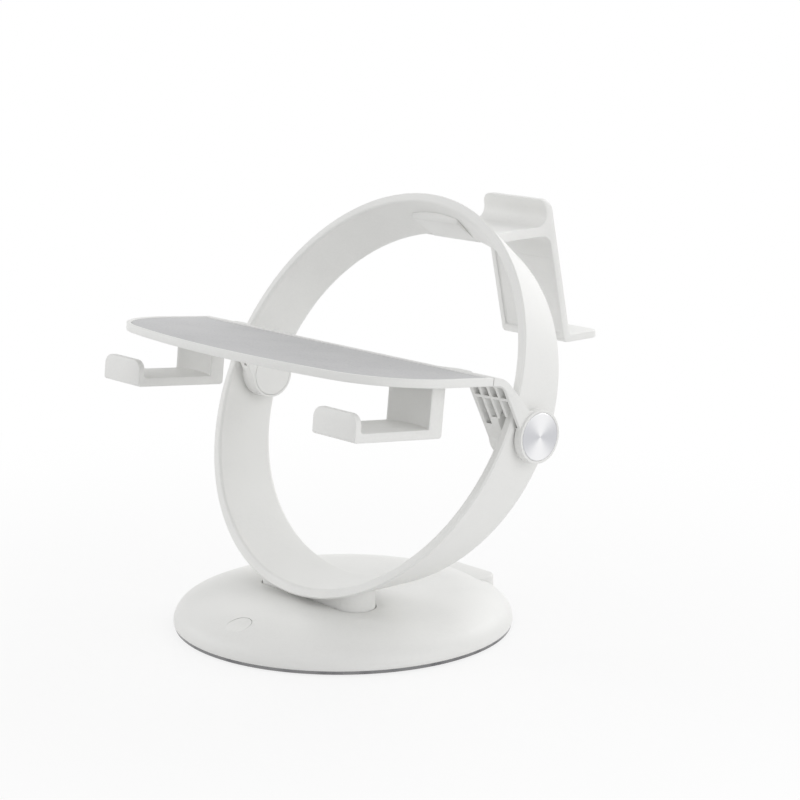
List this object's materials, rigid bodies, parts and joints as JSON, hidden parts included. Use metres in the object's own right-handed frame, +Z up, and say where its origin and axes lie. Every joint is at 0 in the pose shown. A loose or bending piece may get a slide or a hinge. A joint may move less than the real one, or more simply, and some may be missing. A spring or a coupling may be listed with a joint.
{
  "type": "vr headset stand",
  "caption": "Desk stand for a head-worn display: leaning ring on a round weighted base, tilting tray with side hooks, and a cradle for the headband behind.",
  "frame": {"origin": "middle of the round foot pad's underside, on the surface that the stand stands on", "axes": "+X to the right-hand side, -Y to the front where the tray reaches out, +Z up"},
  "size_m": [0.209, 0.2314, 0.1993],
  "materials": {
    "white_plastic": "fine-textured moulded",
    "trim_metal": "polished",
    "ballast_steel": "zinc plated",
    "foot_rubber": "matt",
    "socket_steel": "satin",
    "board_laminate": "solder mask",
    "fastener_steel": "zinc plated",
    "washer_nylon": "smooth",
    "grey_mat": "soft matt",
    "spun_aluminium": "spun, concentric grain"
  },
  "bodies": {
    "stand": {"base_cover": "white_plastic", "trim_ring": "trim_metal", "base_plate": "white_plastic", "ballast_plate": "ballast_steel", "foot_pad": "foot_rubber", "port_housing": "white_plastic", "inlet_socket": "socket_steel", "touch_board": "board_laminate", "touch_spring": "socket_steel", "ring_frame": "white_plastic", "foot_bolt_right": "fastener_steel", "foot_bolt_left": "fastener_steel", "cradle": "white_plastic"},
    "tray": {"tray_plate": "white_plastic", "tray_mat": "grey_mat", "bracket_right": "white_plastic", "hook_right": "white_plastic", "pivot_bolt_right": "fastener_steel", "pivot_nut_right": "fastener_steel", "inner_washer_right": "washer_nylon", "outer_washer_right": "washer_nylon", "cap_right": "spun_aluminium", "inner_cover_right": "white_plastic", "hook_screw_right_1": "fastener_steel", "hook_screw_right_2": "fastener_steel", "bracket_left": "white_plastic", "hook_left": "white_plastic", "pivot_bolt_left": "fastener_steel", "pivot_nut_left": "fastener_steel", "inner_washer_left": "washer_nylon", "outer_washer_left": "washer_nylon", "cap_left": "spun_aluminium", "inner_cover_left": "white_plastic", "hook_screw_left_1": "fastener_steel", "hook_screw_left_2": "fastener_steel"}
  },
  "joints": [
    {"name": "tray_tilt", "type": "hinge", "parent": "stand", "child": "tray", "pos_m": [0, 0.0257, 0.1037], "axis": [1, 0, 0], "range_deg": [-8, 15]}
  ]
}
